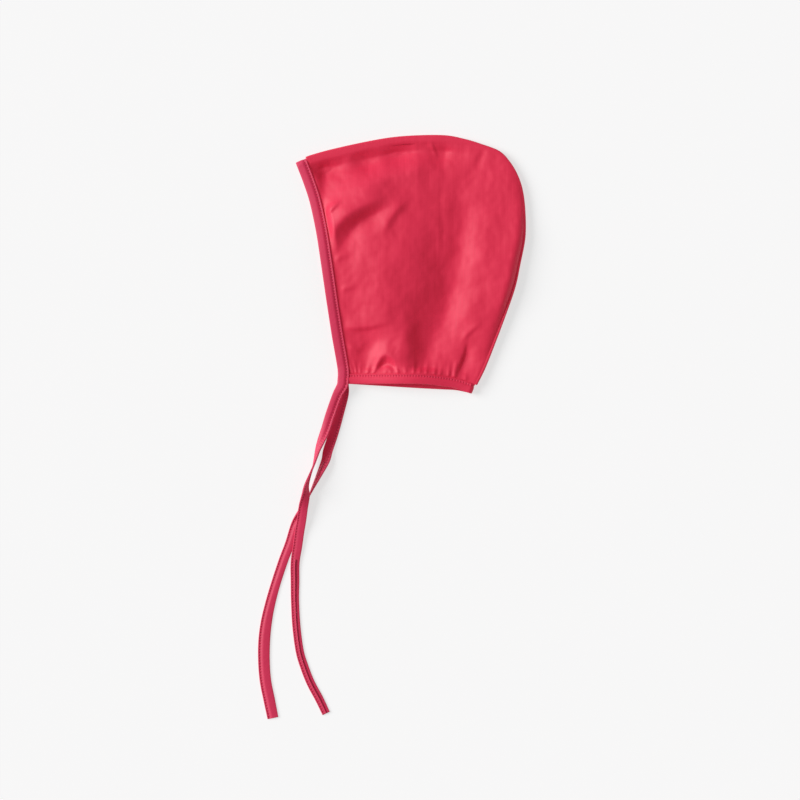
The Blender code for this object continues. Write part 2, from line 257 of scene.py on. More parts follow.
# The slight unevenness of washed cloth, and the uneven dip that the face binding's stitches
# pull
RUMPLE_HEIGHT = 0.00075
RUMPLE_LENGTH = 0.0190
FACE_DIP = 0.0004
FACE_DIP_WIDTH = 0.0024
FACE_PULLS = 16
PULL_EVEN = 0.55
PULL_UNEVEN = 0.9

# How softly a fold runs out at its ends, and how far above the binding a gather is at its
# height, in mm, how much it widens on its way up and how close it comes to the face binding
FOLD_ENDS = 1.5
GATHER_START = 0.9
GATHER_FAN = 0.5
GATHER_FROM_FACE = 0.002

# The seam: how far it rolls out, half its thickness and the share of it over the crown. Then
# the cloth's grid: its rows tucked into a binding, how far past the end of each bound edge
# the seam begins or ends, how evenly the rows lie, and the steps of its border lines.
SEAM_ROLL = 0.0009
SEAM_HALF_THICKNESS = 0.00115
CROWN_SHARE = 0.455
TUCKED = 3
TURN_REACH = 0.0039
EVEN_ROWS = 0.6
SIDE_STEPS = 24
GUIDE_STEPS = 160
FOLD_STEPS = 14

# Inside the seam: share along it, width in mm that is pressed flat, width of the rise, and
# how far the rise is a round edge and not a soft slope
SEAM_PROFILE = (
    (0.00, 12.5, 22.0, 0.0),
    (0.12, 12.0, 22.0, 0.0),
    (0.22, 9.0, 22.0, 0.0),
    (0.32, 8.0, 18.0, 0.0),
    (0.37, 3.5, 13.0, 0.4),
    (0.42, 0.6, 9.0, 1.0),
    (0.62, 0.3, 9.0, 1.0),
    (1.00, 0.3, 9.0, 1.0),
)

# Folds: three places along the crest, rise in mm, and half widths to its left and right in mm
FOLDS = (
    ((464, 190), (447, 296), (388, 424), -6.0, 14.0, 20.0),
    ((459, 180), (462, 228), (454, 284), -1.2, 10.0, 7.0),
    ((313, 268), (344, 218), (398, 191), 6.4, 15.0, 6.4),
    ((336, 262), (358, 227), (404, 203), -1.8, 4.0, 9.0),
    ((379, 240), (394, 213), (416, 194), 1.7, 7.0, 3.5),
    ((426, 202), (418, 176), (415, 148), 0.7, 6.0, 5.0),
    ((322, 208), (321, 182), (329, 158), -0.9, 4.0, 16.0),
    ((368, 308), (370, 348), (364, 394), -2.6, 9.0, 11.0),
    ((338, 327), (364, 327), (394, 321), 2.0, 9.0, 2.4),
    ((403, 392), (407, 350), (402, 308), 3.8, 9.0, 8.0),
    ((369, 378), (384, 355), (405, 366), 2.6, 7.0, 2.6),
    ((376, 378), (386, 364), (402, 374), -1.4, 2.4, 2.6),
    ((456, 380), (465, 358), (469, 338), -2.0, 2.0, 5.0),
    ((459, 344), (468, 333), (481, 322), 0.9, 3.0, 2.0),
    ((437, 140), (438, 220), (437, 310), 0.08, 0.9, 0.9),
    ((441, 190), (443, 230), (442, 270), -0.15, 1.5, 2.0),
    ((320, 224), (332, 210), (344, 200), 1.7, 2.4, 1.8),
    ((338, 294), (346, 289), (360, 286), 0.8, 2.5, 2.0),
    ((340, 340), (352, 348), (366, 350), 0.6, 2.5, 2.0),
    ((328, 266), (340, 258), (354, 254), 0.8, 2.5, 2.5),
    ((485, 142), (483, 154), (474, 170), -0.7, 3.0, 3.0),
    ((438, 162), (432, 146), (429, 134), 0.5, 1.8, 1.4),
)

# Gathers: pixel where each starts at the binding and its lean, reach, rise and half width in mm
GATHERS = (
    (350.0, -1.0, 9.0, 0.60, 1.1),
    (353.4, -1.2, 6.0, 0.50, 0.9),
    (356.8, -1.5, 8.0, 0.65, 1.0),
    (360.4, -0.5, 6.0, 0.40, 1.0),
    (367.5, 2.0, 9.0, 0.70, 1.3),
    (373.6, 3.0, 8.0, 0.70, 1.2),
    (385.5, 1.0, 4.0, 0.45, 1.2),
    (391.0, -1.0, 4.5, 0.45, 1.1),
    (398.5, -3.0, 9.0, 0.80, 1.2),
    (406.0, -1.0, 6.0, 0.50, 1.1),
    (413.5, 0.5, 8.0, 0.60, 1.0),
    (419.5, 0.5, 6.0, 0.50, 1.0),
    (426.0, 0.5, 7.0, 0.60, 1.0),
    (434.0, 1.0, 9.0, 0.65, 1.2),
    (439.7, 1.0, 6.0, 0.50, 1.0),
    (448.0, 1.0, 8.0, 0.60, 1.1),
    (454.0, 1.8, 13.0, 0.90, 1.4),
    (465.0, 1.0, 6.0, 0.40, 1.4),
)


def on_photo(pixels):
    """Pixels of the photograph as places in the frame."""
    away = np.array(pixels, dtype=float) - CORNER_PIXEL
    return away * (PIXEL, -PIXEL) + pattern_corner


class Side:
    """One side of the cap: where its cloth lies in plan and how high it stands."""

    def __init__(self, face, neck, seam_turn, loft, folds, gather_share):
        self.face = face
        self.neck = neck
        self.seam_turn = seam_turn
        self.loft = loft
        self.folds = []
        for start, middle, end, *sizes in folds:
            crest = smooth_curve(on_photo((start, middle, end)))(np.linspace(0, 1, FOLD_STEPS + 1))
            self.folds.append((crest, *np.array(sizes) / 1000))
        self.gather_share = gather_share
        self.seam_level = SEAM_LEVEL + seam_turn * SEAM_HALF_THICKNESS
        face_length = face.line.length
        corner_share = 1 - NECK_BINDING_WIDTH / face_length
        shares = np.linspace(0, 1, SIDE_STEPS)
        side = face.plan(shares * corner_share, FACE_BINDING_WIDTH)
        side[0] -= face.along(0) * TURN_REACH
        bottom = neck.plan(shares, NECK_BINDING_WIDTH)
        bottom[0] = side[-1]
        bottom[-1] += neck.along(1) * TURN_REACH
        outline = Edge(smooth_curve([side[0], *on_cap(SEAM_OUTLINE), bottom[-1]]), self.seam_level)
        shares = np.linspace(0, 1, GUIDE_STEPS)
        self.seam = Edge(smooth_curve(outline.plan(shares, -SEAM_ROLL)), self.seam_level)
        self.side = smooth_curve(side)
        self.bottom = smooth_curve(bottom)
        shares = np.linspace(0, 1, GUIDE_STEPS + 1)
        self.guides = (
            face.plan(shares, FACE_BINDING_WIDTH),
            neck.plan(shares, NECK_BINDING_WIDTH),
            self.seam.line(shares),
        )

    def plan(self, u, v):
        """Places in plan, u from the face to the back and v from the crown to the neck."""
        u, v = u[..., None], v[..., None]
        top = self.seam.line(u[..., 0] * CROWN_SHARE)
        back = self.seam.line(CROWN_SHARE + v[..., 0] * (1 - CROWN_SHARE))
        corners = (1 - v) * ((1 - u) * self.seam.line(0) + u * self.seam.line(CROWN_SHARE))
        corners = corners + v * ((1 - u) * self.side(1) + u * self.seam.line(1))
        across = (1 - u) * self.side(v[..., 0]) + u * back
        return across + (1 - v) * top + v * self.bottom(u[..., 0]) - corners

    def distances(self, places):
        """Distance from the face mouth, neck mouth and seam, and the share along each."""
        return [nearest(guide, places)[:2] for guide in self.guides]

    def heights(self, places):
        """Heights of the middle of the cloth over one row of places."""
        found = self.distances(places)
        (face_away, face_share), (neck_away, neck_share), (seam_away, seam_share) = found
        shares, flats, rises, rounds = np.array(SEAM_PROFILE).T
        # The lower side comes down to the table sooner, clear of the sunk cloth over it
        fall = 1 if self.seam_turn > 0 else LOWER_FALL
        reach = fall / 1000
        flat = np.interp(seam_share, shares, flats) * reach
        seam_rise = np.interp(seam_share, shares, rises) * reach
        seam_round = np.interp(seam_share, shares, rounds)
        seam_away = seam_away + SEAM_ROLL
        falls = on_photo(tuple(zip(BACK_FALLS, ENDS_FALL)))
        (back_starts, ends_start), (back_low, ends_low) = falls
        back = ease((places[:, 0] - back_starts) / (back_low - back_starts))
        ends = ease(np.abs(places[:, 1] - ends_start) / (ends_start - ends_low))
        inside = np.maximum(seam_away - flat, 0)
        holds = (
            (face_away, FACE_RISE * CAP_DEPTH * fall, 0, BOUND_HOLD, self.face.height(face_share)),
            (neck_away, NECK_RISE * CAP_DEPTH, 0, BOUND_HOLD, self.neck.height(neck_share)),
            (inside, seam_rise, seam_round, SEAM_HOLD, self.seam_level),
        )
        total = np.ones(len(places))
        middle_loft, back_loft, end_loft = self.loft
        height = middle_loft + (back_loft - middle_loft) * back + (end_loft - middle_loft) * ends
        for away, rise, rounded, most, level in holds:
            near = 1 - np.clip(away / rise, 0, 1)
            hold = most * (ease(near) + (near**3 - ease(near)) * rounded)
            total += hold / (1 - hold)
            height += level * hold / (1 - hold)
        bound = ease(face_away / STIFF_FACE) * ease(neck_away / STIFF_EDGE)
        free = ease(face_away / STIFF_EDGE) * ease(neck_away / STIFF_EDGE)
        free = free * ease((seam_away - STIFF_FLAT * flat) / STIFF_SEAM)
        past_ridge = ease((seam_away - RIDGE_FLAT * flat) / RIDGE_FALL)
        ridge = SEAM_RIDGE * self.seam_turn * (1 - past_ridge)
        ridge = ridge * (1 - seam_round)
        spots = [Vector((share * SUNK_PATCHES, 0, 0)) for share in seam_share]
        uneven = SUNK_EVEN + SUNK_UNEVEN * np.array([noise.noise(spot) for spot in spots])
        sunk_width = np.where(seam_away < SUNK_INSIDE, *SUNK_WIDTHS)
        sunk = np.exp(-(((seam_away - SUNK_INSIDE) / sunk_width) ** 2)) * (1 - seam_round)
        height = height / total
        sunk = np.minimum(SUNK_DEPTH * sunk * uneven, height - SUNK_FLOOR)
        sunk = sunk * self.gather_share * ease(face_away / SUNK_FROM_FACE)
        height += (ridge - sunk) * bound
        height += (self.fold_heights(places) + self.rumples(places)) * free
        dip = face_away / FACE_DIP_WIDTH * np.exp(1 - face_away / FACE_DIP_WIDTH)
        spots = [Vector((share * FACE_PULLS, 0, 0)) for share in face_share]
        pull = PULL_EVEN + PULL_UNEVEN * np.array([noise.noise(spot) for spot in spots])
        height -= FACE_DIP * pull * dip * self.gather_share
        gathers = self.gather_heights(places, neck_away)
        return height + gathers * ease(face_away / GATHER_FROM_FACE)

    def fold_heights(self, places):
        """Sum of the soft folds over one row of places."""
        height = np.zeros(len(places))
        for crest, rise, left, right in self.folds:
            away, share, turn = nearest(crest, places)
            width = np.where(turn > 0, left, right)
            height += rise * np.sin(np.pi * share) ** FOLD_ENDS * np.exp(-((away / width) ** 2))
        return height

    def rumples(self, places):
        """Slight unevenness of washed cloth."""
        spots = [Vector((x, y, self.seam_turn)) for x, y in places / RUMPLE_LENGTH]
        waves = [noise.fractal(spot, 1.0, 2.1, 3) for spot in spots]
        return RUMPLE_HEIGHT * self.gather_share * np.array(waves)

    def gather_heights(self, places, neck_away):
        """Pleats that start at the neck binding and run out above it."""
        height = np.zeros(len(places))
        for start, lean, reach, rise, width in GATHERS:
            base = on_photo((start, NECK_PIXEL))
            up = neck_away * 1000
            line = base[0] + lean * up / reach / 1000
            across = (places[:, 0] - line) * 1000 / (width * (1 + GATHER_FAN * up / reach))
            along = (1 - np.exp(-((up / GATHER_START) ** 2))) * np.exp(-((up / reach) ** 2))
            height += rise / 1000 * along * np.exp(-across * across)
        return height * self.gather_share

    def sheet(self, columns, rows):
        """Places of a whole panel, with its tucked edges and the roll of the seam."""
        u = np.clip((np.arange(columns + 1) - TUCKED) / (columns - TUCKED), 0, 1)
        v = np.clip(np.arange(rows + 1) / (rows - TUCKED), 0, 1)
        v = EVEN_ROWS * v + (1 - EVEN_ROWS) / 2 * (1 - np.cos(np.pi * v))
        places = np.zeros((rows + 1, columns + 1, 3))
        for row in range(rows + 1):
            plan = self.plan(u, np.full(columns + 1, v[row]))
            places[row, :, :2] = plan
            places[row, :, 2] = self.heights(plan)
        side_shares = self.distances(self.side(v))[0][1]
        neck_shares = self.distances(self.bottom(u))[1][1]
        for step in range(TUCKED):
            tuck = (step + 1) / (TUCKED + 1)
            places[:, step] = self.face.place(side_shares, tuck * FACE_BINDING_WIDTH)
        for step in range(TUCKED):
            tuck = (step + 1) / (TUCKED + 1)
            row = rows - step
            places[row, TUCKED:] = self.neck.place(neck_shares[TUCKED:], tuck * NECK_BINDING_WIDTH)
            share = 1 - tuck * NECK_BINDING_WIDTH / self.face.line.length
            for column in range(TUCKED):
                inward = (column + 1) / (TUCKED + 1) * FACE_BINDING_WIDTH
                places[row, column] = self.face.place(np.array(share), inward)
        return places


# The roll of the seam: out from the panel, towards the seam's plane, in shares
ROLL = ((0.45, 0.10), (0.80, 0.38), (0.97, 0.66), (0.80, 0.74), (-1.0, 0.74), (-6.0, 0.74))


def cloth_mesh():
    """An empty mesh with the run of its weave and the places where a needle went in, for painted
    shade.
    """
    bm = bmesh.new()
    bm.loops.layers.uv.new("weave")
    bm.verts.layers.float.new("needle")
    return bm


def laid_grid(bm, places):
    """A grid laid through places, and its vertices by row and column."""
    rows, columns = places.shape[0] - 1, places.shape[1] - 1
    made = bmesh.ops.create_grid(bm, x_segments=columns, y_segments=rows, size=1)
    grid = {}
    for vert in made["verts"]:
        column = round((vert.co.x + 1) / 2 * columns)
        row = round((1 - vert.co.y) / 2 * rows)
        vert.co = places[row, column]
        grid[row, column] = vert
    return grid


def new_piece(name, bm, finish):
    """A finished bmesh as one smooth piece with its finish."""
    mesh = bpy.data.meshes.new(name)
    bm.to_mesh(mesh)
    bm.free()
    mesh.shade_smooth()
    mesh.materials.append(finish)
    piece = bpy.data.objects.new(name, mesh)
    bpy.context.scene.collection.objects.link(piece)
    return piece


def panel(name, side, columns, rows, finish):
    """One panel: the cloth with its seam edge rolled over and turned in."""
    bm = cloth_mesh()
    grid = laid_grid(bm, side.sheet(columns, rows))
    weave = bm.loops.layers.uv["weave"]
    border = [grid[0, column] for column in range(TUCKED, columns + 1)]
    border += [grid[row, columns] for row in range(1, rows - TUCKED + 1)]
    edges = [bm.edges.get(pair) for pair in zip(border, border[1:])]
    reached = (0.0, 0.0)
    for out, down in ROLL:
        made = bmesh.ops.extrude_edge_only(bm, edges=edges)["geom"]
        verts = [item for item in made if isinstance(item, bmesh.types.BMVert)]
        edges = [item for item in made if isinstance(item, bmesh.types.BMEdge)]
        edges = [edge for edge in edges if edge.is_boundary]
        share = side.distances(np.array([vert.co.xy for vert in verts]))[2][1]
        outward = side.seam.across(share) * (out - reached[0]) * SEAM_ROLL
        drop = (down - reached[1]) * SEAM_HALF_THICKNESS * side.seam_turn
        for vert, move in zip(verts, outward):
            vert.co += Vector((*move, -drop))
        reached = (out, down)
    for face in bm.faces:
        for loop in face.loops:
            loop[weave].uv = loop.vert.co.xy
    bmesh.ops.recalc_face_normals(bm, faces=bm.faces)
    piece = new_piece(name, bm, finish)
    wall = piece.modifiers.new("cloth", "SOLIDIFY")
    wall.thickness = CLOTH
    wall.offset = 0
    return piece


class Wire:
    """A value in a material, on which plain arithmetic adds Math nodes."""

    def __init__(self, finish, socket):
        self.finish = finish
        self.socket = socket

    def __add__(self, other):
        return self.finish.maths("ADD", self, other)

    def __sub__(self, other):
        return self.finish.maths("SUBTRACT", self, other)

    def __mul__(self, other):
        return self.finish.maths("MULTIPLY", self, other)

    def wave(self):
        return self.finish.maths("SINE", self)

    __radd__ = __add__


class Finish:
    """A procedural material, built up node by node."""

    def __init__(self, name):
        self.material = bpy.data.materials.new(name)
        self.material.use_nodes = True
        self.tree = self.material.node_tree
        self.shader = self.tree.nodes["Principled BSDF"]

    def node(self, kind, settings=None, values=None):
        made = self.tree.nodes.new(kind)
        for key, value in (settings or {}).items():
            setattr(made, key, value)
        self.feed(made, values or {})
        return {socket.name: Wire(self, socket) for socket in made.outputs if socket.enabled}

    def feed(self, node, values):
        named = {socket.name: socket for socket in node.inputs if socket.enabled}
        for key, value in values.items():
            socket = node.inputs[key] if isinstance(key, int) else named[key]
            if isinstance(value, Wire):
                self.tree.links.new(value.socket, socket)
            else:
                socket.default_value = value

    def maths(self, operation, *values):
        inputs = dict(enumerate(values))
        return self.node("ShaderNodeMath", {"operation": operation}, inputs)["Value"]

    def mix(self, share, low, high):
        """One colour turned towards another."""
        low, high = (end if isinstance(end, Wire) else (*end, 1) for end in (low, high))
        values = {"Factor": share, "A": low, "B": high}
        return self.node("ShaderNodeMix", {"data_type": "RGBA"}, values)["Result"]

    def cloud(self, place, stretch, detail=2.0):
        """Soft noise, stretched along the axes of its place."""
        drawn = self.node("ShaderNodeMapping", None, {"Vector": place, "Scale": stretch})["Vector"]
        values = {"Vector": drawn, "Scale": 1.0, "Detail": detail}
        return self.node("ShaderNodeTexNoise", None, values)["Fac"]


# The cotton: spacing of its threads, the painted shade in the needle holes as shares of the
# deep colour, how the slubs each way and the worn patches repeat, and its sheen, gloss and relief
THREAD_PITCH = 0.00034
NEEDLE_HOLE_PAINTED_SHADE = (0.75, 0.4, 0.6)
WARP_SLUBS = (900, 34, 1)
WEFT_SLUBS = (40, 1100, 1)
WORN_PATCHES = (38, 38, 1)
SHEEN_ROUGHNESS = 0.45
SHEEN_TINT = (1.0, 0.62, 0.70, 1)
COTTON_GLOSS = 0.7
RELIEF_DEPTH = 0.0001
RELIEF_STRENGTH = 0.25


def cotton(name, deep, bright, grain, sheen):
    """Fine plain-woven cotton: single threads, slubs that run with the warp, soft tone, painted
    shade in needle holes.
    """
    finish = Finish(name)
    values = {"Vector": finish.node("ShaderNodeUVMap", {"uv_map": "weave"})["UV"]}
    values["Rotation"] = (0, 0, math.radians(grain))
    turned = finish.node("ShaderNodeMapping", None, values)["Vector"]
    axes = finish.node("ShaderNodeSeparateXYZ", None, {"Vector": turned})
    threads = math.pi / THREAD_PITCH
    weave = (axes["X"] * threads).wave() * (axes["Y"] * threads).wave()
    warp_slub = finish.cloud(turned, WARP_SLUBS)
    weft_slub = finish.cloud(turned, WEFT_SLUBS)
    worn = finish.cloud(turned, WORN_PATCHES, 3.0)
    painted_hole_shade_mask = finish.node("ShaderNodeAttribute", {"attribute_name": "needle"})["Fac"]
    shade = warp_slub * 0.6 + weft_slub * 0.2 + worn * 0.5 + weave * 0.05 - 0.15
    dyed = finish.mix(shade, deep, bright)
    # Painted shade: the cotton is darkened where the needle marks of its mesh lie, most at the
    # needle holes.
    painted_hole_shade = tuple(channel * left for channel, left in zip(deep, NEEDLE_HOLE_PAINTED_SHADE))
    finish.feed(finish.shader, {"Base Color": finish.mix(painted_hole_shade_mask, dyed, painted_hole_shade)})
    finish.feed(finish.shader, {"Roughness": 0.52 + warp_slub * 0.14})
    relief = weave * 0.5 + warp_slub * 1.2 + weft_slub * 0.6
    values = {"Height": relief, "Strength": RELIEF_STRENGTH, "Distance": RELIEF_DEPTH}
    bump = finish.node("ShaderNodeBump", None, values)
    finish.feed(finish.shader, {"Normal": bump["Normal"]})
    finish.shader.inputs["Sheen Weight"].default_value = sheen
    finish.shader.inputs["Sheen Roughness"].default_value = SHEEN_ROUGHNESS
    finish.shader.inputs["Sheen Tint"].default_value = SHEEN_TINT
    finish.shader.inputs["Specular IOR Level"].default_value = COTTON_GLOSS
    return finish.material


panel_cotton = cotton("panel_cotton", (0.70, 0.016, 0.066), (0.88, 0.036, 0.112), 0, 0.0)

UPPER_GRID = (220, 190)
LOWER_GRID = (120, 100)
upper_side = Side(upper_face, upper_neck, 1, CAP_LOFT, FOLDS, 1)
upper_cloth = panel("upper_side", upper_side, *UPPER_GRID, panel_cotton)
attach(upper_cloth, "root")
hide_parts("side_panel_upper")

lower_side = Side(lower_face, lower_neck, -1, (CLOTH, CLOTH, CLOTH), (), 0)
lower_cloth = panel("lower_side", lower_side, *LOWER_GRID, panel_cotton)
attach(lower_cloth, "root")
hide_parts("side_panel_lower")

# The bindings: a strip of the same cotton with both raw edges turned in, folded over the
# edge of the cloth and stitched down close to its open side. The stitches pull a shallow
# groove and leave a lip outside it.
LEAF = 0.00055
LIP = 0.0015
NEEDLE_DEPTH = 0.00030
DENT = 0.0005
STITCH_PITCH = 0.0021
RINGS_PER_STITCH = 5
STITCH_RINGS = 6
THREAD_SIDES = 6
THREAD_WIDTH = 0.00046
THREAD_DEPTH = 0.00010
THREAD_DIP = 0.00030
BOUND_OPENING = 0.0006
TIE_OPENING = 0.00004
TURN_STEPS = 24
MERGED = 1e-6

# How far a stitch stands at its full width, and its width where it dips into the cloth
THREAD_RISE = 1.6
THREAD_START = 0.6
THREAD_END = 0.15

# The rounded fold: inward from it, and height as a share of the strip's half thickness
FOLD_ROUND = ((0.0, 0.0), (0.00006, 0.42), (0.00022, 0.72), (0.00055, 0.91), (0.0012, 0.99))

# The leaf past its middle: inward from the open side, height over the leaf, share of the puff
LEAF_SWELL = 0.00012
LEAF_TOP = (
    (0.0034, LEAF_SWELL, 0.85),
    (0.0027, 0.00008, 0.45),
    (LIP + DENT, 0.0, 0.0),
    (LIP, -0.00006, 0.0),
    (LIP - DENT, 0.00004, 0.0),
    (0.0006, 0.00020, 0.0),
    (0.00020, 0.00010, 0.0),
    (0.0, -0.00010, 0.0),
)
PUFF = 0.00045
SLOT_START = 0.0008
SLOT_NARROW = 0.7


def bound_frames(edge, shares, face_up, width, opening):
    """Along a bound edge: fold, way into the cloth, way up, width and opening."""
    flat = np.zeros(len(shares))
    side = np.column_stack((edge.across(shares), flat))
    up = np.column_stack((flat, flat, flat + face_up))
    return np.column_stack((edge.place(shares), side, up, flat + width, flat + opening))


def turn_frames(upper, lower, share, forward, beyond, width):
    """Round the end of the seam, from the upper edge to the lower one."""
    radius = (upper.level - lower.level) / 2
    angle = np.linspace(0, math.pi, TURN_STEPS)[1:-1, None]
    along = np.array((*upper.along(share), 0)) * forward
    side = np.array((*upper.across(share), 0))
    high = np.array((0, 0, 1))
    reach = along * np.sin(angle) * (radius + beyond)
    fold = upper.place(np.array(share)) + reach + high * radius * (np.cos(angle) - 1)
    up = unit(high * np.cos(angle) + along * np.sin(angle))
    flat = np.zeros((len(angle), 1))
    return np.hstack((fold, side + flat, up, flat + width, flat + BOUND_OPENING))


def evenly(frames, step):
    """The same frames at even steps along the strip's middle."""
    middle = frames[:, :3] + frames[:, 3:6] * frames[:, 9:10] / 2
    steps = np.linalg.norm(np.diff(middle, axis=0), axis=1)
    lengths = np.concatenate(([0], np.cumsum(steps)))
    count = round(lengths[-1] / step)
    way = np.linspace(0, lengths[-1], count + 1)
    even = np.column_stack([np.interp(way, lengths, column) for column in frames.T])
    even[:, 3:6] = unit(even[:, 3:6])
    even[:, 6:9] = unit(even[:, 6:9])
    return way, even


def leaf_section(width, opening, needle, puff):
    """Outline of one leaf of the strip at each frame, from the fold to the slot's end."""
    half = opening / 2 + LEAF
    leaf = [(inward + 0 * width, half * share) for inward, share in FOLD_ROUND]
    leaf.append((width * 0.5, half + LEAF_SWELL + puff))
    for inward, height, share in LEAF_TOP:
        sunk = needle * NEEDLE_DEPTH * max(0, 1 - abs(inward - LIP) / (2 * DENT))
        leaf.append((width - inward, half + height - sunk + puff * share))
    seat = opening / 2
    slot = (SLOT_START + 0 * width, seat * SLOT_NARROW)
    return leaf + [(width, seat), (width * 0.5, seat), slot]


def folded_strip(name, way, frames, finish):
    """A folded strip along its frames, closed at both ends."""
    fold, side, up = frames[:, 0:3], frames[:, 3:6], frames[:, 6:9]
    needle = 0.5 + 0.5 * np.cos(2 * np.pi * way / STITCH_PITCH)
    puff = PUFF * np.clip(frames[:, 8], 0, 1)
    outline = leaf_section(frames[:, 9], frames[:, 10], needle, puff)
    under = leaf_section(frames[:, 9], frames[:, 10], needle, 0 * puff)
    outline += [(inward, -height) for inward, height in reversed(under)]
    places = np.stack([fold + side * a[:, None] + up * b[:, None] for a, b in outline], axis=1)
    around = np.linalg.norm(np.diff(places, axis=1), axis=2).cumsum(axis=1)
    bm = cloth_mesh()
    grid = laid_grid(bm, places)
    weave = bm.loops.layers.uv["weave"]
    # The needle marks: painted shade that darkens the cotton around the needle holes on the stitch
    # line.
    painted_hole_shade_mask = bm.verts.layers.float["needle"]
    inside = [float(np.abs(frames[:, 9] - a - LIP).max()) for a, _ in outline]
    dent_shade = [max(0, 1 - away / (2 * DENT)) for away in inside]
    where = {}
    for (row, column), vert in grid.items():
        where[vert] = (way[row], around[row, column - 1] if column else 0.0)
        vert[painted_hole_shade_mask] = needle[row] * dent_shade[column]
    for face in bm.faces:
        for loop in face.loops:
            loop[weave].uv = where[loop.vert]
    bmesh.ops.remove_doubles(bm, verts=bm.verts, dist=MERGED)
    ends = [edge for edge in bm.edges if edge.is_boundary]
    bmesh.ops.holes_fill(bm, edges=ends, sides=0)
    bmesh.ops.recalc_face_normals(bm, faces=bm.faces)
    return new_piece(name, bm, finish)


def stitches(name, way, frames, finish):
    """The needle thread and the bobbin thread, each dipping in between stitches."""
    count = int(way[-1] / STITCH_PITCH)
    places = np.linspace(0, count * STITCH_PITCH, count * STITCH_RINGS + 1)
    along = np.column_stack([np.interp(places, way, column) for column in frames.T])
    fold, side, up = along[:, 0:3], unit(along[:, 3:6]), unit(along[:, 6:9])
    swell = THREAD_RISE * np.abs(np.sin(np.pi * places / STITCH_PITCH)) - THREAD_START
    swell = np.clip(swell, 0, 1)
    girth = THREAD_END + (1 - THREAD_END) * swell
    turn = np.linspace(0, 2 * np.pi, THREAD_SIDES + 1)
    bm = cloth_mesh()
    for face in (1, -1):
        height = along[:, 10] / 2 + LEAF - THREAD_DEPTH + (swell - 1) * THREAD_DIP
        middle = fold + side * (along[:, 9] - LIP)[:, None] + up * (height * face)[:, None]
        across = side[:, None, :] * np.cos(turn)[:, None] * THREAD_WIDTH / 2
        across = across + up[:, None, :] * np.sin(turn)[:, None] * THREAD_WIDTH / 2
        laid_grid(bm, middle[:, None, :] + across * girth[:, None, None])
    bmesh.ops.remove_doubles(bm, verts=bm.verts, dist=MERGED)
    bmesh.ops.holes_fill(bm, edges=[edge for edge in bm.edges if edge.is_boundary], sides=0)
    bmesh.ops.recalc_face_normals(bm, faces=bm.faces)
    return new_piece(name, bm, finish)


# The neck binding runs from the face binding along the upper neck edge, round the end of the
# back seam at the nape and back along the lower edge.
NECK_TUCK = 0.004
NAPE_BEYOND = 0.0004
NECK_STEPS = 240
neck_cotton = cotton("neck_binding_cotton", (0.70, 0.020, 0.076), (0.90, 0.038, 0.120), 45, 0.0)
thread = cotton("sewing_thread", (0.88, 0.060, 0.160), (0.98, 0.090, 0.220), 0, 0.1)

neck_width = NECK_BINDING_WIDTH
shares = np.linspace(0, 1, NECK_STEPS)
neck_route = np.vstack((
    bound_frames(upper_neck, shares, 1, neck_width, BOUND_OPENING),
    turn_frames(upper_neck, lower_neck, 1, 1, NAPE_BEYOND, neck_width),
    bound_frames(lower_neck, shares[::-1], -1, neck_width, BOUND_OPENING),
))
for end, edge in ((0, upper_neck), (-1, lower_neck)):
    neck_route[end, :2] -= edge.along(0) * NECK_TUCK
neck_way, neck_frames = evenly(neck_route, STITCH_PITCH / RINGS_PER_STITCH)
neck_strip = folded_strip("neck_strip", neck_way, neck_frames, neck_cotton)
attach(neck_strip, "root")
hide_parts("neck_binding")
neck_thread = stitches("neck_stitches", neck_way, neck_frames, thread)
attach(neck_thread, "root")

# The face binding and the two ties are one long strip. It binds the upper face edge from the
# neck to the forehead, turns round the end of the crown seam, binds the lower face edge and
# runs on at both ends as the ties, folded shut and stitched, which cross on the table.
TIE_DROP = 0.250
TIE_WIDTH = 0.0075
TIE_THICKNESS = 2 * LEAF + TIE_OPENING
CORNER_OPENING = 0.0016
FOREHEAD_BEYOND = 0.0009
TIE_CLOSES = 0.014
TIE_CLEAR = 0.0001
STRIP_STEPS = 500
CORNER_STARTS = 0.93
CORNER_OPENS = 0.04

# From the neck corner to the cut end: shares of the drop down and across, width as a share
# of the tie's, turn about its own length in degrees, thicknesses of the other tie that it
# lies over, and free height under it as a share of its width
TIE_OVER = (
    (0.039, -0.0177, 0.97, 0, 0, 0.66),
    (0.093, -0.0372, 0.95, 4, 0, 0.62),
    (0.143, -0.0532, 0.93, 16, 0, 0.52),
    (0.177, -0.0664, 0.92, 38, 0, 0.38),
    (0.204, -0.0763, 0.92, 60, 0, 0.30),
    (0.252, -0.0892, 0.92, 86, 0, 0.30),
    (0.306, -0.1074, 0.92, 112, 0, 0.62),
    (0.339, -0.1113, 0.94, 146, 0, 0.80),
    (0.375, -0.1188, 0.95, 172, 1, 0.52),
    (0.414, -0.1246, 0.96, 180, 1, 0.30),
    (0.451, -0.1310, 0.96, 180, 1, 0.10),
    (0.490, -0.1363, 0.94, 180, 1, 0.00),
    (0.541, -0.1438, 0.90, 180, 0.5, 0.00),
    (0.595, -0.1441, 0.88, 180, 0, 0.00),
    (0.655, -0.1441, 0.82, 180, 0, 0.00),
    (0.730, -0.1402, 0.82, 180, 0, 0.00),
    (0.805, -0.1303, 0.82, 180, 0, 0.00),
    (0.853, -0.1162, 0.84, 180, 0, 0.00),
    (0.901, -0.0973, 0.84, 180, 0, 0.00),
    (0.949, -0.0718, 0.84, 180, 0, 0.00),
    (0.993, -0.0508, 0.80, 180, 0, 0.00),
)
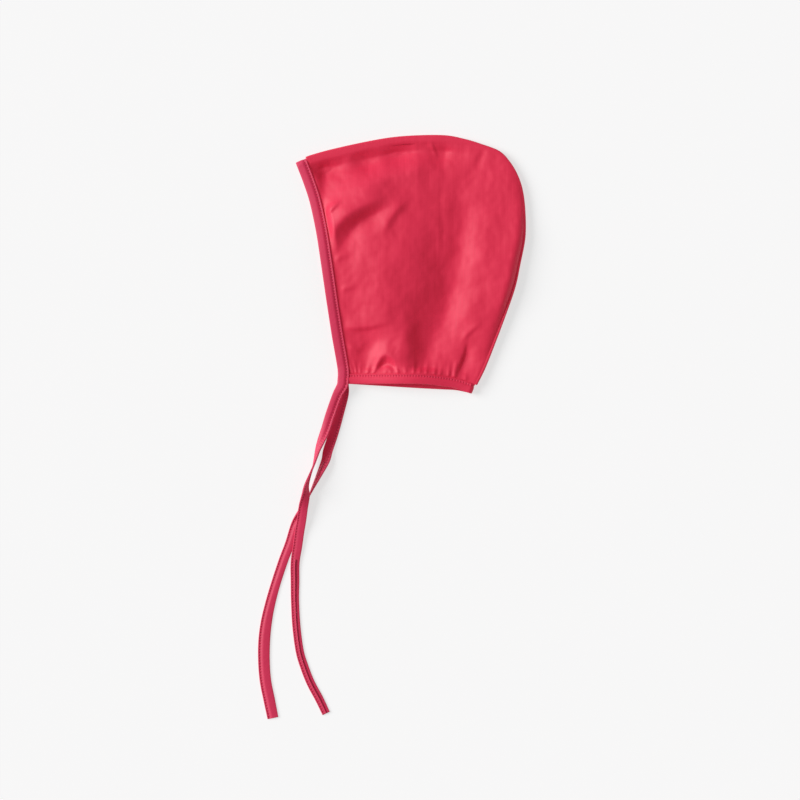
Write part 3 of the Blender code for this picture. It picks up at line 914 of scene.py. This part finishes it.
TIE_UNDER = (
    (0.035, 0.0020, 1.00, 0, 0, 0.06),
    (0.093, -0.0121, 0.98, 0, 0, 0.00),
    (0.150, -0.0277, 0.98, 0, 0, 0.00),
    (0.204, -0.0454, 0.98, 8, 0, 0.00),
    (0.233, -0.0522, 0.92, 22, 0, 0.00),
    (0.267, -0.0672, 0.85, 46, 0, 0.00),
    (0.315, -0.0903, 0.74, 74, 0, 0.00),
    (0.351, -0.1068, 0.66, 102, 0, 0.00),
    (0.390, -0.1268, 0.76, 145, 0, 0.00),
    (0.429, -0.1433, 0.92, 176, 0, 0.00),
    (0.484, -0.1600, 0.95, 180, 0, 0.00),
    (0.535, -0.1792, 0.95, 180, 0, 0.00),
    (0.604, -0.2020, 0.95, 180, 0, 0.00),
    (0.667, -0.2194, 1.02, 180, 0, 0.00),
    (0.721, -0.2305, 1.12, 180, 0, 0.00),
    (0.775, -0.2365, 1.18, 180, 0, 0.00),
    (0.835, -0.2374, 1.17, 180, 0, 0.00),
    (0.895, -0.2329, 1.15, 180, 0, 0.00),
    (0.955, -0.2210, 1.15, 180, 0, 0.00),
    (1.007, -0.2105, 1.10, 180, 0, 0.00),
)


def tie_frames(face, rows, face_up):
    """Along a tie, from the end of the face binding to the cut end."""
    start = face.place(np.array(1.0), FACE_BINDING_WIDTH / 2)
    table = [(*start, FACE_BINDING_WIDTH, 0)]
    for down, across, share, turn, over, lift in rows:
        width = share * TIE_WIDTH
        angle = math.radians(turn)
        rest = 0.5 * (width * abs(math.sin(angle)) + TIE_THICKNESS * abs(math.cos(angle)))
        height = rest + over * TIE_THICKNESS + lift * TIE_WIDTH
        plan = (start[0] + across * TIE_DROP, start[1] - down * TIE_DROP)
        table.append((*plan, height, width, angle))
    first = np.array(table[1][:3])
    sets_off = np.array((*face.along(1), 0)) * np.linalg.norm(first - start)
    route = smooth_curve(table, (*(first - 2 * sets_off), *table[0][3:]))
    shares = np.linspace(0, 1, STRIP_STEPS)
    middle, width, angle = route(shares)[:, :3], route(shares)[:, 3], route(shares)[:, 4:5]
    along = unit(np.gradient(middle, axis=0))
    level = unit(np.column_stack((-along[:, 1], along[:, 0], 0 * width)))
    side = level * np.cos(angle) + np.cross(along, level) * np.sin(angle)
    up = np.cross(along, side)
    lowest = middle[:, 2] - np.abs(side[:, 2]) * width / 2 - np.abs(up[:, 2]) * TIE_THICKNESS / 2
    middle[:, 2] -= np.minimum(lowest - TIE_CLEAR, 0)
    closing = 1 - ease(shares * route.length / TIE_CLOSES)
    opening = TIE_OPENING + (CORNER_OPENING - TIE_OPENING) * closing
    fold = middle - side * width[:, None] / 2
    return np.column_stack((fold, side, up * face_up, width, opening))


binding_cotton = cotton("binding_cotton", (0.58, 0.022, 0.088), (0.77, 0.044, 0.142), 45, 0.0)
face_width = FACE_BINDING_WIDTH
shares = np.linspace(0, 1, STRIP_STEPS)
corner = ease((shares - CORNER_STARTS) / CORNER_OPENS)
opening = BOUND_OPENING + (CORNER_OPENING - BOUND_OPENING) * corner
edge_route = np.vstack((
    tie_frames(upper_face, TIE_OVER, 1)[::-1],
    bound_frames(upper_face, shares, 1, face_width, opening)[-2::-1],
    turn_frames(upper_face, lower_face, 0, -1, FOREHEAD_BEYOND, face_width),
    bound_frames(lower_face, shares, -1, face_width, opening)[:-1],
    tie_frames(lower_face, TIE_UNDER, -1),
))
edge_way, edge_frames = evenly(edge_route, STITCH_PITCH / RINGS_PER_STITCH)
edge_strip = folded_strip("edge_strip", edge_way, edge_frames, binding_cotton)
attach(edge_strip, "root")
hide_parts("face_binding", "tie_over", "tie_under")
edge_thread = stitches("edge_stitches", edge_way, edge_frames, thread)
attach(edge_thread, "root")

# The table: a wide matt white surface, with the camera straight above it. Its weak glow
# makes up for the red tint of the studio's fill light, so that it stays neutral.
PHOTO_CENTRE = (400, 400)
PHOTO_WIDTH = 800 * PIXEL
LENS = 120
SENSOR = 36
CLIP_END = 50
TABLE_WIDTH = 6.0
TABLE_GLOSS = 0.1
TABLE_DARK = (0.417, 0.417, 0.417)
TABLE_LIGHT = (0.423, 0.423, 0.423)
GLOW_COLOUR = (0.853, 1, 0.974, 1)
GLOW_STRENGTH = 0.657

bm = bmesh.new()
bmesh.ops.create_grid(bm, x_segments=1, y_segments=1, size=TABLE_WIDTH / 2)
white = Finish("table_white")
grain = white.node("ShaderNodeTexCoord")["Object"]
cloud = white.cloud(grain, (9, 9, 9))
shade = white.mix(cloud, TABLE_DARK, TABLE_LIGHT)
white.feed(white.shader, {"Base Color": shade})
white.feed(white.shader, {"Roughness": 0.55 + cloud * 0.1})
white.shader.inputs["Specular IOR Level"].default_value = TABLE_GLOSS
white.shader.inputs["Emission Color"].default_value = GLOW_COLOUR
white.shader.inputs["Emission Strength"].default_value = GLOW_STRENGTH
table = new_piece("table", bm, white.material)

middle = on_photo(PHOTO_CENTRE)
lens = bpy.data.cameras.new("camera")
lens.lens = LENS
lens.sensor_width = SENSOR
lens.clip_end = CLIP_END
camera = bpy.data.objects.new("camera", lens)
camera.location = (*middle, PHOTO_WIDTH * LENS / SENSOR)
bpy.context.scene.collection.objects.link(camera)
bpy.context.scene.camera = camera

# The light: a wide window to the upper left, and fill light that is tinted red as by the
# cotton itself, so that the shadows on it stay saturated as the photograph shows them.
WINDOW_STRENGTH = 2.7
WINDOW_WIDTH = 35
WINDOW_WAY = (1.0, -0.25, -0.66)
FILL_COLOUR = (1, 0.44, 0.54, 1)
FILL_STRENGTH = 0.42

lamp = bpy.data.lights.new("window", "SUN")
lamp.energy = WINDOW_STRENGTH
lamp.angle = math.radians(WINDOW_WIDTH)
window = bpy.data.objects.new("window", lamp)
window.rotation_euler = Vector(WINDOW_WAY).to_track_quat("-Z", "Y").to_euler()
bpy.context.scene.collection.objects.link(window)

sky = bpy.data.worlds.new("studio")
sky.use_nodes = True
sky.node_tree.nodes["Background"].inputs["Color"].default_value = FILL_COLOUR
sky.node_tree.nodes["Background"].inputs["Strength"].default_value = FILL_STRENGTH
bpy.context.scene.world = sky
bpy.context.scene.view_settings.view_transform = "Standard"
